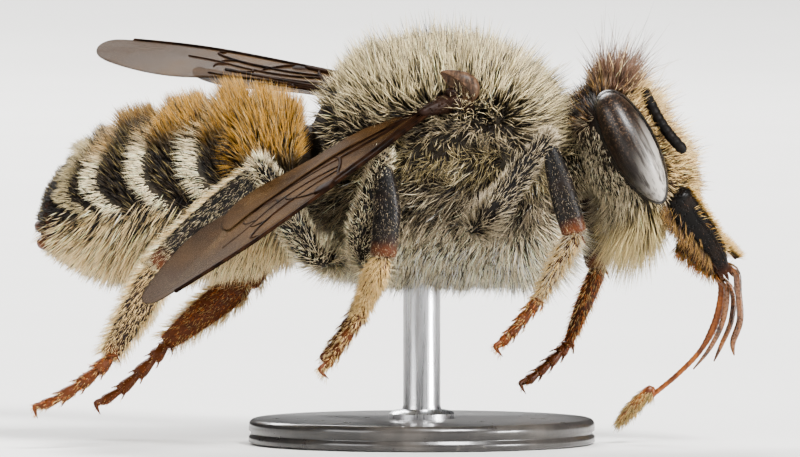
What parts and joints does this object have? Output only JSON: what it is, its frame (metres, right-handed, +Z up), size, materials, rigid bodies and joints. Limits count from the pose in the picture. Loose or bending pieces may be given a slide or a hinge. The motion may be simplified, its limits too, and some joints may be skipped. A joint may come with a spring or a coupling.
{
  "type": "leafcutter bee",
  "caption": "Life-size female leafcutter bee in flight: cream-furred thorax, banded abdomen with a pale belly brush, smoky wings, long tongue out, held on a round display stand.",
  "frame": {"origin": "on the underside of the stand's base, under the middle of the whole model's box", "axes": "+X forwards to the bee's head, +Y to the bee's left, +Z up"},
  "size_m": [0.0154, 0.0158, 0.009],
  "materials": {
    "coat_cream": "dense cream and grey hair",
    "coat_tan": "short orange-tan hair",
    "coat_banded": "black hair with pale bands, and a cream brush below",
    "shell_black": "black pitted shell with a soft gloss",
    "shell_red": "red-brown shell",
    "shell_amber": "amber, slightly clear shell",
    "eye_grey": "polished grey with dark streaks",
    "wing_smoky": "thin smoky brown membrane with dark veins",
    "stand_dark": "satin black paint",
    "stand_steel": "fine satin steel"
  },
  "bodies": {
    "root": {"abdomen_1": "coat_tan", "abdomen_2": "coat_tan", "abdomen_3": "coat_banded", "abdomen_4": "coat_banded", "abdomen_5": "coat_banded", "abdomen_6": "coat_banded", "abdomen_tip": "coat_banded", "antenna_left": "shell_black", "antenna_right": "shell_black", "eye_left": "eye_grey", "eye_right": "eye_grey", "forewing_left": "wing_smoky", "forewing_right": "wing_smoky", "galea_left": "shell_amber", "galea_right": "shell_amber", "head": "coat_cream", "hindwing_left": "wing_smoky", "hindwing_right": "wing_smoky", "labrum": "shell_black", "leg_front_left_basitarsus": "shell_red", "leg_front_left_femur": "shell_black", "leg_front_left_tarsus": "shell_red", "leg_front_left_tibia": "shell_black", "leg_front_right_basitarsus": "shell_red", "leg_front_right_femur": "shell_black", "leg_front_right_tarsus": "shell_red", "leg_front_right_tibia": "shell_black", "leg_hind_left_basitarsus": "shell_red", "leg_hind_left_femur": "shell_black", "leg_hind_left_tarsus": "shell_red", "leg_hind_left_tibia": "shell_black", "leg_hind_right_basitarsus": "shell_red", "leg_hind_right_femur": "shell_black", "leg_hind_right_tarsus": "shell_red", "leg_hind_right_tibia": "shell_black", "leg_middle_left_basitarsus": "shell_red", "leg_middle_left_femur": "shell_black", "leg_middle_left_tarsus": "shell_red", "leg_middle_left_tibia": "shell_black", "leg_middle_right_basitarsus": "shell_red", "leg_middle_right_femur": "shell_black", "leg_middle_right_tarsus": "shell_red", "leg_middle_right_tibia": "shell_black", "mandible_left": "shell_black", "mandible_right": "shell_black", "mouthparts_base": "shell_amber", "neck": "coat_cream", "stand_base": "stand_dark", "stand_rod": "stand_steel", "tegula_left": "shell_amber", "tegula_right": "shell_amber", "thorax": "coat_cream", "tongue": "shell_amber", "tongue_tip": "coat_tan", "waist": "shell_black"}
  },
  "joints": []
}
